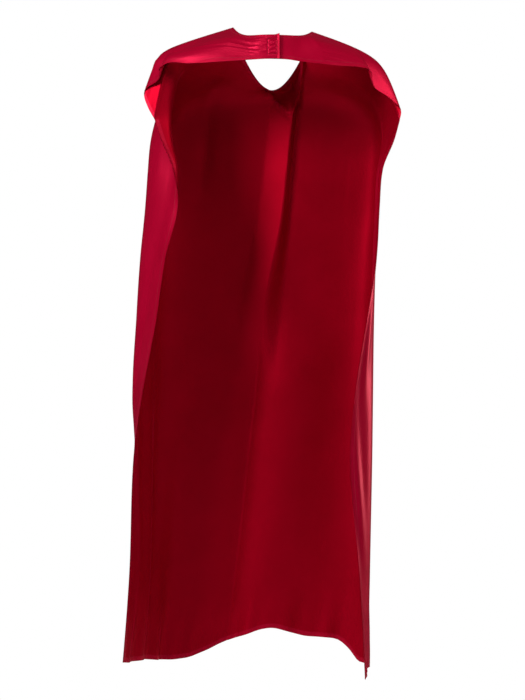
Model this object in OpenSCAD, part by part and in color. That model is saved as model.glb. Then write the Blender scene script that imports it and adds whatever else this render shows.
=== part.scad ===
// Superhero cape: one cut satin cloth whose neck straps lap at the front under a
// hook-and-loop tab. It is held by a neck, so the cloth stands as it hangs.
// +Z is up, +X is to the right seen from the front, the front is -Y.
// The origin is the middle of the neck opening, level with the neck points.

/* [Cape] */
// Width across the shoulders, over the turned-out edges
shoulder_w = 475; // [400:5:560]
// Height from the neck opening down to the lowest corner of the hem
cape_l = 1197; // [800:1:1450]
// Depth from the front edges back to the hanging panel
cape_d = 180; // [150:5:220]

/* [Neck opening] */
// Width between the two neck points
neck_w = 146; // [120:2:180]
// Reach of the opening forward from the origin
neck_front = 86; // [70:1:100]
// Reach of the opening backward from the origin
neck_back = 92; // [75:1:105]
// Drop of the straps' top edge below the origin at the throat
throat_drop = 21; // [15:1:30]
// Sag of the back neckline below the origin
back_sag = 101; // [70:1:120]

/* [Straps and closure] */
// Height of the straps at the throat
strap_w = 45; // [36:1:60]
// Overhang of the upper strap's end past the middle of the throat
over_lap = 12.5; // [6:0.5:18]
// Overhang of the lower strap's end past the middle of the throat
under_lap = 20; // [12:0.5:26]
// Length of the closure tab behind its end edge
tab_l = 26; // [20:0.5:32]
// Bare cloth between each end of the tab and its hook-and-loop patch
patch_end = 3.5; // [3:0.5:6]
// Bare cloth above and below each hook-and-loop patch
patch_edge = 7; // [6.5:0.5:12]
// Thickness of each hook-and-loop patch
patch_t = 1.1; // [0.8:0.1:1.4]

/* [Cloth] */
// Thickness of the cloth
cloth_t = 1.2; // [0.8:0.1:1.6]
// Thickness of the turned hem laid on the cloth's inner face
hem_t = 0.8; // [0.4:0.1:1.2]
// Width of the turned hem
hem_w = 9; // [6:0.5:14]
// Thickness of the sewing thread
thread_d = 0.7; // [0.5:0.1:1]

/* [Clearances] */
// Gap between sewn layers
sew_gap = 0.05; // [0.02:0.01:0.2]
// Gap between the closed hook and loop faces
closed_gap = 0.5; // [0.3:0.1:1]
// Gap in the cloth where a strap swings
strap_gap = 3; // [2.6:0.1:3.6]
// Gap in the cloth where the tab peels
tab_gap = 3.4; // [3:0.1:4]
// Gap in the cloth where the hanging panel swings
panel_gap = 2.4; // [2:0.1:3.2]

/* [Hidden] */

satin = "#a8002a";
satin_turned = "#8a0018";
sewing = "#7c0016";
hook_tape = "#9a0a26";

// ---- Place of the main lines ----
// Level of the line across the shoulder blades where the panel starts to hang free
yoke_z = -170;
// Level of the straps' lower edge
band_z = -throat_drop - strap_w;
neck_r = neck_w / 2;
// Heights of the neck points: the right shoulder hangs a little lower
left_peak_z = 4;
right_peak_z = -4;
// The lines below are drawn for these sizes and stretch with the named ones
drawn_w = 475;
drawn_d = 180;
drawn_drop = 1027;
wide = shoulder_w / drawn_w;
deep = cape_d / drawn_d;
long = (cape_l + yoke_z) / drawn_drop;

// Levels, as drops below the yoke line, at which the hanging lines are drawn
LEVELS = [0, 40, 90, 160, 250, 370, 510, 630, 830, 1030];
// Plan places of nine lines down the hanging cloth, from the left free edge round the
// back to the right free edge: [x at each level, y at each level]
LINES = [
    // left free edge, turned out above and wrapped forward at the elbow
    [[-216, -203, -184, -174, -196, -214, -240, -255, -262, -277],
     [-45, -50, -56, -58, -55, -50, -42, -35, -30, -30]],
    // left front fold
    [[-190, -184, -177, -190, -214, -232, -250, -252, -252, -262],
     [-24, -30, -38, -44, -32, -24, -12, -5, 0, 0]],
    // left side
    [[-222, -227, -230, -234, -242, -249, -254, -244, -236, -240],
     [18, 15, 12, 10, 10, 12, 22, 42, 52, 52]],
    // left back corner
    [[-188, -190, -192, -195, -198, -200, -198, -194, -192, -194],
     [104, 108, 112, 116, 118, 120, 122, 124, 128, 130]],
    // middle of the back
    [[-6, -6, -6, -6, -6, -6, -6, -6, -6, -6],
     [122, 126, 129, 133, 137, 141, 145, 148, 152, 156]],
    // right back corner
    [[186, 186, 184, 182, 178, 174, 170, 168, 166, 166],
     [104, 108, 112, 116, 118, 120, 122, 124, 126, 126]],
    // right side
    [[216, 206, 196, 193, 189, 186, 186, 185, 181, 176],
     [32, 36, 40, 36, 22, 10, 6, 8, 14, 20]],
    // right front fold
    [[230, 216, 198, 195, 190, 180, 168, 163, 170, 172],
     [-15, -20, -25, -22, -24, -32, -36, -34, -24, -12]],
    // right free edge
    [[233, 222, 202, 195, 189, 171, 149, 141, 159, 170],
     [-38, -44, -50, -50, -50, -52, -54, -52, -44, -30]]];
// Each line again as [drop, [x, y]] pairs
DRAPE = [for (line = LINES)
    [for (i = [0 : len(LEVELS) - 1]) [LEVELS[i], [line[0][i], line[1][i]]]]];
LAST = len(LINES) - 1;
MIDDLE = LAST / 2;

// Drop of the hem below the yoke line at places across the cloth, in line numbers
HEM = [[0, 996], [1, 1000], [2, 1002], [3, 1013], [3.3, 1006], [3.6, 980], [4, 954],
    [4.35, 970], [4.65, 975], [4.8, 989], [5, 1017], [6, 1015], [7, 1020], [8, 1027]];

// Edge of the yoke by compass angle round the neck (0 is the back, -90 the left):
// the strap's lower edge, the band's lower edge, the roll over the shoulder point
// and the turned-out edge down to the yoke line
LEFT_EDGE = [[-196, [20, -96.5, band_z]], [-180, [0, -97, band_z]], [-160, [-27, -96, band_z - 1]],
    [-137, [-56, -92, band_z - 2]], [-125, [-104, -84, band_z - 4]],
    [-117, [-152, -72, band_z - 5]], [-111, [-188, -58, -68]], [-106, [-207, -52, -78]],
    [-101, [-206, -50, -90]], [-96, [-212, -46, -101]], [-91, [-232, -34, -112]],
    [-86, [-236, -30, -124]], [-80, [-228, -38, -148]], [-75, [-216, -45, yoke_z]]];
RIGHT_EDGE = [[75, [233, -38, yoke_z]], [81, [236, -32, -155]], [87, [231, -34, -145]],
    [93, [211, -42, -128]], [98, [188, -50, -114]], [103, [181, -52, -99]],
    [108, [181, -54, -87]], [114, [168, -60, -78]], [125, [112, -82, band_z - 10]],
    [137, [56, -92, band_z - 5]], [160, [27, -96, band_z - 1]], [180, [0, -97, band_z]],
    [196, [-20, -96.5, band_z]]];
// Angle from the back at which the yoke's side edge reaches the yoke line
SIDE_A = 75;
// Angle at which the straps leave the yoke
STRAP_A = 137;
// Shoulder line: slope, and how far out it turns down, as a share of its run
LEFT_SLOPE = 0.33;
RIGHT_SLOPE = 0.37;
LEFT_TURN = 0.84;
RIGHT_TURN = 0.80;
// How tight the turn over the shoulder point is
LEFT_TIGHT = 4;
RIGHT_TIGHT = 2.2;

// ---- Smooth curve through keys [place, value] ----
function key_before(keys, q, i = 0) =
    (i >= len(keys) - 2 || q < keys[i + 1][0]) ? i : key_before(keys, q, i + 1);
function rise(keys, i) =
    let (a = max(i - 1, 0), b = min(i + 1, len(keys) - 1))
    (keys[b][1] - keys[a][1]) / (keys[b][0] - keys[a][0]);
function clamp(x, low, high) = max(low, min(high, x));
function through(keys, place) =
    let (q = clamp(place, keys[0][0], keys[len(keys) - 1][0]))
    let (i = key_before(keys, q))
    let (h = keys[i + 1][0] - keys[i][0])
    let (t = (q - keys[i][0]) / h, u = 1 - t)
    keys[i][1] * (1 + 2 * t) * u * u + keys[i + 1][1] * t * t * (3 - 2 * t)
    + h * t * u * (u * rise(keys, i) - t * rise(keys, i + 1));
function smooth(x, a, b) = let (t = clamp((x - a) / (b - a), 0, 1)) t * t * (3 - 2 * t);

// ---- Hanging cloth: line number s from 0 to LAST, share q of the drop ----
function plan(s, drop) = through([for (i = [0 : LAST]) [i, through(DRAPE[i], drop)]], s);
function hanging(s, q) =
    let (drop = q * through(HEM, s), p = plan(s, drop))
    [p[0] * wide, p[1] * deep, yoke_z - drop * long];

// ---- Yoke and straps: angle a round the neck, v from the neckline to the edge ----
function neckline(a) =
    let (c = cos(a), s = abs(sin(a)), peak = a > 0 ? right_peak_z : left_peak_z)
    [neck_r * sin(a), c * (c < 0 ? neck_front : neck_back),
     c < 0 ? -throat_drop + (throat_drop + peak) * pow(s, 6)
           : -back_sag + (back_sag + peak) * pow(s, 1.8)];
// Straps keep their own place; the yoke stretches with the shoulders beyond them
function spread(p, a) =
    let (k = 1 - smooth(abs(a), 112, STRAP_A))
    [p[0] * (1 + (wide - 1) * k), p[1] * (1 + (deep - 1) * k), p[2]];
function yoke_edge(a) =
    abs(a) <= SIDE_A ? hanging(MIDDLE * (1 + a / SIDE_A), 0)
                     : spread(through(a < 0 ? LEFT_EDGE : RIGHT_EDGE, a), a);
// Each line runs out along the shoulder's slope and turns down at a corner: its two
// ends, that corner between them, and how tightly it turns there
function yoke_line(a) =
    let (n = neckline(a), m = yoke_edge(a), left = a < 0)
    let (front = smooth(abs(a), 112, 150), side = smooth(abs(a), 15, 70) * (1 - front))
    let (k = (left ? LEFT_TURN : RIGHT_TURN) * side + 0.9 * (1 - side - front) + 0.5 * front)
    let (run = norm([m[0] - n[0], m[1] - n[1]]) * k)
    let (fall = max((left ? LEFT_SLOPE : RIGHT_SLOPE) * run * (0.35 + 0.65 * side),
                    0.46 * front * (n[2] - m[2])))
    [n, [n[0] + (m[0] - n[0]) * k, n[1] + (m[1] - n[1]) * k, n[2] - fall], m,
     1 + (left ? LEFT_TIGHT : RIGHT_TIGHT) * side * smooth(-m[2], 60, 115)];
// A rational curve with the corner as its middle point
function on_line(line, v) =
    let (b0 = (1 - v) * (1 - v), b1 = 2 * line[3] * v * (1 - v), b2 = v * v)
    (b0 * line[0] + b1 * line[1] + b2 * line[2]) / (b0 + b1 + b2);
function yoke(a, v) = on_line(yoke_line(a), v);

// ---- Laps: the straps part by one closed stack at the throat ----
stack = cloth_t + 2 * patch_t + 2 * sew_gap + closed_gap;
function lap(a, side) = side * stack / 2 * smooth(abs(a), STRAP_A + 4, 166);
function strap(a, v, side) = yoke(a, v) + [0, lap(a, side), 0];
// Angle beyond the throat's middle that a strap reaches for an overhang x
function reach(x) = 180 + asin(x / neck_r);
over_end = -reach(over_lap);
under_end = reach(under_lap);
tab_a = -reach(over_lap - tab_l);

// ---- Solids from a grid of points ----
function unit(v) = v / norm(v);
function edge_i(i, n) = clamp(i, 0, n - 1);
function normals(g) =
    let (n = len(g), m = len(g[0]))
    [for (i = [0 : n - 1]) [for (j = [0 : m - 1])
        unit(cross(g[i][edge_i(j + 1, m)] - g[i][edge_i(j - 1, m)],
                   g[edge_i(i + 1, n)][j] - g[edge_i(i - 1, n)][j]))]];
function steps(a, b, n) = [for (i = [0 : n]) a + (b - a) * i / n];
// Places from a to b with a border cell of its own width at each end
function bordered(a, b, border_a, border_b, n) =
    concat([a], steps(a + border_a, b - border_b, n), [b]);

// A closed layer between two offsets along the normals, over rows and columns of a grid
module layer(g, far, near, rows, cols) {
    all = normals(g);
    n = rows[1] - rows[0] + 1;
    m = cols[1] - cols[0] + 1;
    pts = [for (off = [far, near]) for (i = [rows[0] : rows[1]]) for (j = [cols[0] : cols[1]])
        g[i][j] + all[i][j] * off];
    function at(i, j) = i * m + j;
    back = n * m;
    skin = [for (i = [0 : n - 2]) for (j = [0 : m - 2])
        for (t = [[at(i, j), at(i + 1, j), at(i + 1, j + 1)],
                  [at(i, j), at(i + 1, j + 1), at(i, j + 1)]]) t];
    lining = [for (t = skin) [t[0] + back, t[2] + back, t[1] + back]];
    ring = concat([for (j = [0 : m - 2]) at(0, j)], [for (i = [0 : n - 2]) at(i, m - 1)],
        [for (j = [m - 1 : -1 : 1]) at(n - 1, j)], [for (i = [n - 1 : -1 : 1]) at(i, 0)]);
    wall = [for (i = [0 : len(ring) - 1])
        let (a = ring[i], b = ring[(i + 1) % len(ring)])
        for (t = [[a, b, b + back], [a, b + back, a + back]]) t];
    polyhedron(points = pts, faces = concat(skin, lining, wall));
}

// Cloth over a whole grid, and a turned hem on its inner face over part of it
module cloth(g) {
    layer(g, cloth_t / 2, -cloth_t / 2, [0, len(g) - 1], [0, len(g[0]) - 1]);
}
hem_face = -cloth_t / 2 - sew_gap;
module turned(g, rows, cols) {
    layer(g, hem_face, hem_face - hem_t, rows, cols);
}

// A thread lying on a face along chosen grid points, as a six-sided tube
THREAD_SIDES = 6;
outer_thread = cloth_t / 2 + sew_gap + thread_d / 2;
// Over the hem on the inner face
inner_thread = hem_face - hem_t - sew_gap - thread_d / 2;
module thread(g, places, face = outer_thread) {
    all = normals(g);
    n = len(places);
    p = [for (c = places) g[c[0]][c[1]] + all[c[0]][c[1]] * face];
    pts = [for (i = [0 : n - 1])
        let (up = all[places[i][0]][places[i][1]])
        let (along = unit(p[edge_i(i + 1, n)] - p[edge_i(i - 1, n)]))
        let (across = unit(cross(along, up)))
        for (k = [0 : THREAD_SIDES - 1])
            let (turn = 360 * k / THREAD_SIDES)
            p[i] + thread_d / 2 * (across * cos(turn) + cross(across, along) * sin(turn))];
    function at(i, k) = i * THREAD_SIDES + k % THREAD_SIDES;
    sides = [for (i = [0 : n - 2]) for (k = [0 : THREAD_SIDES - 1])
        for (t = [[at(i, k), at(i, k + 1), at(i + 1, k + 1)],
                  [at(i, k), at(i + 1, k + 1), at(i + 1, k)]]) t];
    first = [for (k = [THREAD_SIDES - 1 : -1 : 0]) at(0, k)];
    last = [for (k = [0 : THREAD_SIDES - 1]) at(n - 1, k)];
    polyhedron(points = pts, faces = concat(sides, [first, last]));
}

// ---- Grids ----
// Border cells as wide as the hem: 30 mm lie between the free edge and its fold line
EDGE_RUN = 30;
hem_s = hem_w / EDGE_RUN;
panel_q0 = panel_gap / 2 / (drawn_drop * long);
hem_q = hem_w / (drawn_drop * long);
panel_cols = bordered(0, LAST, hem_s, hem_s, 24);
panel_rows = bordered(panel_q0, 1, hem_q, hem_q, 14);
panel = [for (q = panel_rows) [for (s = panel_cols) hanging(s, q)]];
panel_n = len(panel_rows) - 1;
panel_m = len(panel_cols) - 1;

// Angle that a gap of the given width takes at the straps' mid height
STRAP_MM = 0.0078767 * neck_w;
gap_a = strap_gap / 2 / STRAP_MM;
tab_gap_a = tab_gap / 2 / STRAP_MM;
yoke_cols = concat(steps(-STRAP_A + gap_a, -SIDE_A - 4, 14), steps(-SIDE_A, SIDE_A, 26),
    steps(SIDE_A + 4, STRAP_A - gap_a, 14));
// Rows down one line: a border as wide as the hem at each end, and even steps between
BORDER_MOST = 0.3;
function yoke_rows(line) =
    bordered(0, 1, min(BORDER_MOST, hem_w / (2 * line[3] * norm(line[1] - line[0]))),
        min(BORDER_MOST, hem_w / (2 * line[3] * norm(line[2] - line[1]))), 4);
// The lowest row is lifted to leave the panel its gap
yoke_lift = panel_gap / 2;
yoke_columns = [for (a = yoke_cols) let (line = yoke_line(a), v = yoke_rows(line), n = len(v) - 1)
    [for (i = [0 : n]) on_line(line, v[i]) + [0, 0, i == n && abs(a) <= SIDE_A ? yoke_lift : 0]]];
yoke_grid = [for (i = [0 : len(yoke_columns[0]) - 1]) [for (c = yoke_columns) c[i]]];
yoke_n = len(yoke_grid) - 1;
yoke_m = len(yoke_cols) - 1;
// Columns from a strap round to the yoke line
side_m = 15;

strap_rows = bordered(0, 1, hem_w / strap_w, hem_w / strap_w, 2);
over_cols = steps(tab_a + tab_gap_a, -STRAP_A - gap_a, 6);
over_grid = [for (v = strap_rows) [for (a = over_cols) strap(a, v, -1)]];
// Turned width at the tab's end, as an angle
TAB_END = 2.76;
tab_end_a = TAB_END / STRAP_MM;
tab_cols = bordered(over_end, tab_a - tab_gap_a, tab_end_a, tab_end_a, 3);
tab_grid = [for (v = strap_rows) [for (a = tab_cols) strap(a, v, -1)]];
under_cols = steps(STRAP_A + gap_a, under_end, 10);
under_grid = [for (v = strap_rows) [for (a = under_cols) strap(a, v, 1)]];
// Patches: both lie at the same place across the throat, and keep to the tab's own size
patch_l = tab_l - 2 * patch_end;
patch_h = strap_w - 2 * patch_edge;
patch_x = over_lap - tab_l / 2;
strap_n = len(strap_rows) - 1;
// The lower strap's stitches show on its outer face up to the loop patch
under_open = len([for (a = under_cols) if (a < reach(-patch_x - patch_l / 2) - 2) a]) - 1;
patch_v = [(1 - patch_h / strap_w) / 2, (1 + patch_h / strap_w) / 2];
hook_grid = [for (v = steps(patch_v[0], patch_v[1], 3))
    [for (x = steps(patch_x + patch_l / 2, patch_x - patch_l / 2, 3)) strap(-reach(x), v, -1)]];
loop_grid = [for (v = steps(patch_v[0], patch_v[1], 3))
    [for (x = steps(patch_x + patch_l / 2, patch_x - patch_l / 2, 3)) strap(reach(-x), v, 1)]];

// ---- Yoke ----
module shoulder_yoke() {
    color(satin)
        cloth(yoke_grid);
}
module neckline_hem() {
    color(satin_turned)
        turned(yoke_grid, [0, 1], [0, yoke_m]);
}
module left_shoulder_hem() {
    color(satin_turned)
        turned(yoke_grid, [yoke_n - 1, yoke_n], [0, side_m]);
}
module right_shoulder_hem() {
    color(satin_turned)
        turned(yoke_grid, [yoke_n - 1, yoke_n], [yoke_m - side_m, yoke_m]);
}
module neckline_thread() {
    color(sewing)
        thread(yoke_grid, [for (j = [0 : yoke_m]) [1, j]]);
}
module shoulder_thread() {
    color(sewing) {
        thread(yoke_grid, [for (j = [0 : side_m]) [yoke_n - 1, j]]);
        thread(yoke_grid, [for (j = [yoke_m - side_m : yoke_m]) [yoke_n - 1, j]]);
    }
}

// ---- Upper strap, which laps over the other ----
module over_strap() {
    color(satin)
        cloth(over_grid);
}
module strap_hems(g) {
    turned(g, [0, 1], [0, len(g[0]) - 1]);
    turned(g, [strap_n - 1, strap_n], [0, len(g[0]) - 1]);
}
module strap_threads(g, last) {
    for (row = [1, strap_n - 1])
        thread(g, [for (j = [0 : last]) [row, j]]);
}
module over_strap_hem() {
    color(satin_turned)
        strap_hems(over_grid);
}
module over_strap_thread() {
    color(sewing)
        strap_threads(over_grid, len(over_cols) - 1);
}

// ---- Closure tab ----
module closure_tab() {
    color(satin)
        cloth(tab_grid);
}
module tab_hem() {
    color(satin_turned)
        turned(tab_grid, [0, strap_n], [0, 1]);
}
module hook_patch() {
    color(hook_tape)
        layer(hook_grid, hem_face, hem_face - patch_t, [0, 3], [0, 3]);
}
function box_of(n, m) = concat([for (j = [0 : m]) [0, j]], [for (i = [1 : n]) [i, m]],
    [for (j = [m - 1 : -1 : 0]) [n, j]], [for (i = [n - 1 : -1 : 1]) [i, 0]]);
module tab_box_stitch() {
    color(sewing)
        thread(hook_grid, box_of(3, 3));
}

// ---- Lower strap ----
module under_strap() {
    color(satin)
        cloth(under_grid);
}
module under_strap_hem() {
    color(satin_turned)
        strap_hems(under_grid);
}
module under_strap_thread() {
    color(sewing)
        strap_threads(under_grid, under_open);
}
module loop_patch() {
    color(satin_turned)
        layer(loop_grid, -hem_face + patch_t, -hem_face, [0, 3], [0, 3]);
}
module loop_box_stitch() {
    color(sewing)
        thread(loop_grid, box_of(3, 3), inner_thread);
}

// ---- Hanging panel ----
module back_panel() {
    color(satin)
        cloth(panel);
}
module left_side_hem() {
    color(satin_turned)
        turned(panel, [0, panel_n - 1], [0, 1]);
}
module right_side_hem() {
    color(satin_turned)
        turned(panel, [0, panel_n - 1], [panel_m - 1, panel_m]);
}
module bottom_hem() {
    color(satin_turned)
        turned(panel, [panel_n - 1, panel_n], [0, panel_m]);
}
module left_side_thread() {
    color(sewing)
        thread(panel, [for (i = [0 : panel_n - 1]) [i, 1]]);
}
module right_side_thread() {
    color(sewing)
        thread(panel, [for (i = [0 : panel_n - 1]) [i, panel_m - 1]]);
}
module bottom_thread() {
    color(sewing)
        thread(panel, [for (j = [1 : panel_m - 1]) [panel_n - 1, j]]);
}

shoulder_yoke();
neckline_hem();
left_shoulder_hem();
right_shoulder_hem();
neckline_thread();
shoulder_thread();
over_strap();
over_strap_hem();
over_strap_thread();
closure_tab();
tab_hem();
hook_patch();
tab_box_stitch();
under_strap();
under_strap_hem();
under_strap_thread();
loop_patch();
loop_box_stitch();
back_panel();
left_side_hem();
right_side_hem();
bottom_hem();
left_side_thread();
right_side_thread();
bottom_thread();
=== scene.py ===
"""Looks of a superhero cape: satin cloth, turned hems, stitching and a hook-and-loop closure.

Lengths are worked out in millimetres, in the frame's axes, and turned to metres when a mesh is
made. Compass angles run round the neck in degrees: 0 at the back, -90 at the left.
"""

import math

import bpy
import numpy as np
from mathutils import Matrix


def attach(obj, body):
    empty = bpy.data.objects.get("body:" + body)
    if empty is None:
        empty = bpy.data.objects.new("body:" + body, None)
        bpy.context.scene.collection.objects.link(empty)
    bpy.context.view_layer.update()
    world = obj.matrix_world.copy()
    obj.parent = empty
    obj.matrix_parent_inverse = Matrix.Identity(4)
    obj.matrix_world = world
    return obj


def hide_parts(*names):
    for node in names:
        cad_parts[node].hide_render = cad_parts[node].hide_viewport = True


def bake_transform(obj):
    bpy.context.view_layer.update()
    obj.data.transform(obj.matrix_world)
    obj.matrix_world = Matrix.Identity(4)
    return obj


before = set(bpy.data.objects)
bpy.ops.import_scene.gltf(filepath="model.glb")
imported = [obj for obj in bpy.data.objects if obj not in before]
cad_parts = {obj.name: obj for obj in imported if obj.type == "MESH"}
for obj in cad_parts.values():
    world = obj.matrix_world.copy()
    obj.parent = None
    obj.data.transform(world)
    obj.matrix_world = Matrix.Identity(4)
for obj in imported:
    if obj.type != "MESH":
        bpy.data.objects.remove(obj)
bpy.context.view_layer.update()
MM = 0.001

# ---- Camera ----
# Level, 4 m in front, looking along +Y at the middle of the cape
LENS_MM = 111.2
SENSOR_MM = 36.0
CAMERA_AT = (-0.0185, -4.0, -0.592)
camera_data = bpy.data.cameras.new("camera")
camera_data.lens = LENS_MM
camera_data.sensor_width = SENSOR_MM
camera = bpy.data.objects.new("camera", camera_data)
camera.location = CAMERA_AT
camera.rotation_euler = (math.pi / 2, 0.0, 0.0)
bpy.context.scene.collection.objects.link(camera)
bpy.context.scene.camera = camera

# ---- Lines of the cape ----
YOKE_Z = -170.0
NECK_R = 73.0
NECK_FRONT = 86.0
NECK_BACK = 92.0
THROAT_DROP = 21.0
BACK_SAG = 101.0
LEFT_PEAK_Z = 4.0
RIGHT_PEAK_Z = -4.0
# Drops below the yoke line at which the hanging lines are given
LEVELS = [0, 40, 90, 160, 250, 370, 510, 630, 830, 1030]
# Plan places, x then y at each drop, of nine lines from the left free edge round the back
LINES = np.array([
    [[-216, -203, -184, -174, -196, -214, -240, -255, -262, -277],
     [-45, -50, -56, -58, -55, -50, -42, -35, -30, -30]],
    [[-190, -184, -177, -190, -214, -232, -250, -252, -252, -262],
     [-24, -30, -38, -44, -32, -24, -12, -5, 0, 0]],
    [[-222, -227, -230, -234, -242, -249, -254, -244, -236, -240],
     [18, 15, 12, 10, 10, 12, 22, 42, 52, 52]],
    [[-188, -190, -192, -195, -198, -200, -198, -194, -192, -194],
     [104, 108, 112, 116, 118, 120, 122, 124, 128, 130]],
    [[-6, -6, -6, -6, -6, -6, -6, -6, -6, -6],
     [122, 126, 129, 133, 137, 141, 145, 148, 152, 156]],
    [[186, 186, 184, 182, 178, 174, 170, 168, 166, 166],
     [104, 108, 112, 116, 118, 120, 122, 124, 126, 126]],
    [[216, 206, 196, 193, 189, 186, 186, 185, 181, 176],
     [32, 36, 40, 36, 22, 10, 6, 8, 14, 20]],
    [[230, 216, 198, 195, 190, 180, 168, 163, 170, 172],
     [-15, -20, -25, -22, -24, -32, -36, -34, -24, -12]],
    [[233, 222, 202, 195, 189, 171, 149, 141, 159, 170],
     [-38, -44, -50, -50, -50, -52, -54, -52, -44, -30]]], float)
# Drop of the hem at places across the cloth, in line numbers
HEM_AT = [0, 1, 2, 3, 3.3, 3.6, 4, 4.35, 4.65, 4.8, 5, 6, 7, 8]
HEM_DROP = [996, 1000, 1002, 1013, 1006, 980, 954, 970, 975, 989, 1017, 1015, 1020, 1027]
# Edge of the yoke by compass angle, as x, y and z: the left from its front end round to
# the side, and the right from its side round to the front end
LEFT_AT = [-196, -180, -160, -137, -125, -117, -111, -106, -101, -96, -91, -86, -80, -75]
LEFT_EDGE = [
    [20, -96.5, -66], [0, -97, -66], [-27, -96, -67], [-56, -92, -68], [-104, -84, -70],
    [-152, -72, -71], [-188, -58, -68], [-207, -52, -78], [-206, -50, -90],
    [-212, -46, -101], [-232, -34, -112], [-236, -30, -124], [-228, -38, -148],
    [-216, -45, -170]]
RIGHT_AT = [75, 81, 87, 93, 98, 103, 108, 114, 125, 137, 160, 180, 196]
RIGHT_EDGE = [
    [233, -38, -170], [236, -32, -155], [231, -34, -145], [211, -42, -128],
    [188, -50, -114], [181, -52, -99], [181, -54, -87], [168, -60, -78], [112, -82, -76],
    [56, -92, -71], [27, -96, -67], [0, -97, -66], [-20, -96.5, -66]]
SIDE_A = 75.0
STRAP_A = 137.0
# Corner at which the yoke turns down: its share of the way out at the left, right, back
# and front, the shoulders' slope down to it, and how tightly each shoulder turns there
CORNER_LEFT, CORNER_RIGHT, CORNER_BACK, CORNER_FRONT = 0.84, 0.80, 0.9, 0.5
SLOPE_LEFT, SLOPE_RIGHT = 0.33, 0.37
TURN_LEFT, TURN_RIGHT = 4.0, 2.2
# Half the stack of two cloths and two closed patches at the throat, and how far the upper
# strap's end stands off in front of it
LAP = 2.0
END_OFF = 2.2


def cubic(a, b, slope_a, slope_b, t, width=1.0):
    """Cubic that runs from a to b as t goes from 0 to 1, with the given slopes at its ends
    over a stretch of the given width."""
    return (a * (1 + 2 * t) * (1 - t) ** 2 + b * t * t * (3 - 2 * t)
            + width * t * (1 - t) * ((1 - t) * slope_a - t * slope_b))


def through(places, values, at):
    """Smooth curve through keys: a cubic between each two, with the slope at a key taken
    from its two neighbours."""
    k = np.asarray(places, float)
    v = np.asarray(values, float)
    flat = v.reshape(len(k), -1)
    slope = np.empty_like(flat)
    slope[1:-1] = (flat[2:] - flat[:-2]) / (k[2:] - k[:-2])[:, None]
    slope[0] = (flat[1] - flat[0]) / (k[1] - k[0])
    slope[-1] = (flat[-1] - flat[-2]) / (k[-1] - k[-2])
    q = np.clip(np.asarray(at, float), k[0], k[-1])
    i = np.clip(np.searchsorted(k, q, side="right") - 1, 0, len(k) - 2)
    h = (k[i + 1] - k[i])[..., None]
    t = (q - k[i])[..., None] / h
    out = cubic(flat[i], flat[i + 1], slope[i], slope[i + 1], t, h)
    return out.reshape(q.shape + v.shape[1:])


def smooth(x, a, b):
    """Rises from 0 at a to 1 at b along 3t^2 - 2t^3."""
    t = np.clip((np.asarray(x, float) - a) / (b - a), 0, 1)
    return t * t * (3 - 2 * t)


def hump(x, middle, width):
    """Bell curve: e to the minus square of the distance from the middle over the width."""
    return np.exp(-(((x - middle) / width) ** 2))


def unit(v):
    """Each vector over its own length."""
    return v / np.maximum(np.linalg.norm(v, axis=-1, keepdims=True), 1e-12)


def hanging(s, q):
    """Hanging cloth at line number s and share q of the drop: the nine lines' plan places
    at that drop, joined across by a smooth curve."""
    s, q = np.broadcast_arrays(np.asarray(s, float), np.asarray(q, float))
    drop = q * through(HEM_AT, HEM_DROP, s)
    places = np.moveaxis(through(LEVELS, np.moveaxis(LINES, 2, 0), drop), -2, 0)
    slope = np.empty_like(places)
    slope[1:-1] = (places[2:] - places[:-2]) / 2
    slope[0] = places[1] - places[0]
    slope[-1] = places[-1] - places[-2]
    i = np.clip(np.floor(s).astype(int), 0, len(LINES) - 2)
    t = (s - i)[..., None]
    at = tuple(np.indices(s.shape))
    here, beyond = (i,) + at, (i + 1,) + at
    xy = cubic(places[here], places[beyond], slope[here], slope[beyond], t)
    return np.concatenate([xy, (YOKE_Z - drop)[..., None]], -1)


def neckline(a):
    """Neck edge at angle a: half an oval in front and half behind, which rises from the
    throat to the neck points along sin^6 and sags behind them along sin^1.8."""
    r = np.radians(a)
    c, s = np.cos(r), np.abs(np.sin(r))
    peak = np.where(a > 0, RIGHT_PEAK_Z, LEFT_PEAK_Z)
    front = -THROAT_DROP + (THROAT_DROP + peak) * s ** 6
    back = -BACK_SAG + (BACK_SAG + peak) * s ** 1.8
    return np.stack([NECK_R * np.sin(r), c * np.where(c < 0, NECK_FRONT, NECK_BACK),
                     np.where(c < 0, front, back)], -1)


def yoke(a, v):
    """Yoke at angle a and share v of the way from the neckline to its edge: a rational
    curve out along the shoulder's slope that turns down at a corner."""
    a, v = np.broadcast_arrays(np.asarray(a, float), np.asarray(v, float))
    n = neckline(a)
    back = np.abs(a) <= SIDE_A
    m = np.where(back[..., None], hanging(4 + 4 * np.clip(a / SIDE_A, -1, 1), 0 * a),
                 np.where((a < 0)[..., None], through(LEFT_AT, LEFT_EDGE, a),
                          through(RIGHT_AT, RIGHT_EDGE, a)))
    front = smooth(np.abs(a), 112, 150)
    side = smooth(np.abs(a), 15, 70) * (1 - front)
    left = a < 0
    k = (np.where(left, CORNER_LEFT, CORNER_RIGHT) * side + CORNER_BACK * (1 - side - front)
         + CORNER_FRONT * front)
    run = np.hypot(m[..., 0] - n[..., 0], m[..., 1] - n[..., 1]) * k
    fall = np.maximum(np.where(left, SLOPE_LEFT, SLOPE_RIGHT) * run * (0.35 + 0.65 * side),
                      0.46 * front * (n[..., 2] - m[..., 2]))
    corner = n + (m - n) * k[..., None]
    corner[..., 2] = n[..., 2] - fall
    w = 1 + np.where(left, TURN_LEFT, TURN_RIGHT) * side * smooth(-m[..., 2], 60, 115)
    v, w = v[..., None], w[..., None]
    b0, b1, b2 = (1 - v) ** 2, 2 * w * v * (1 - v), v * v
    return (b0 * n + b1 * corner + b2 * m) / (b0 + b1 + b2)


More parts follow.
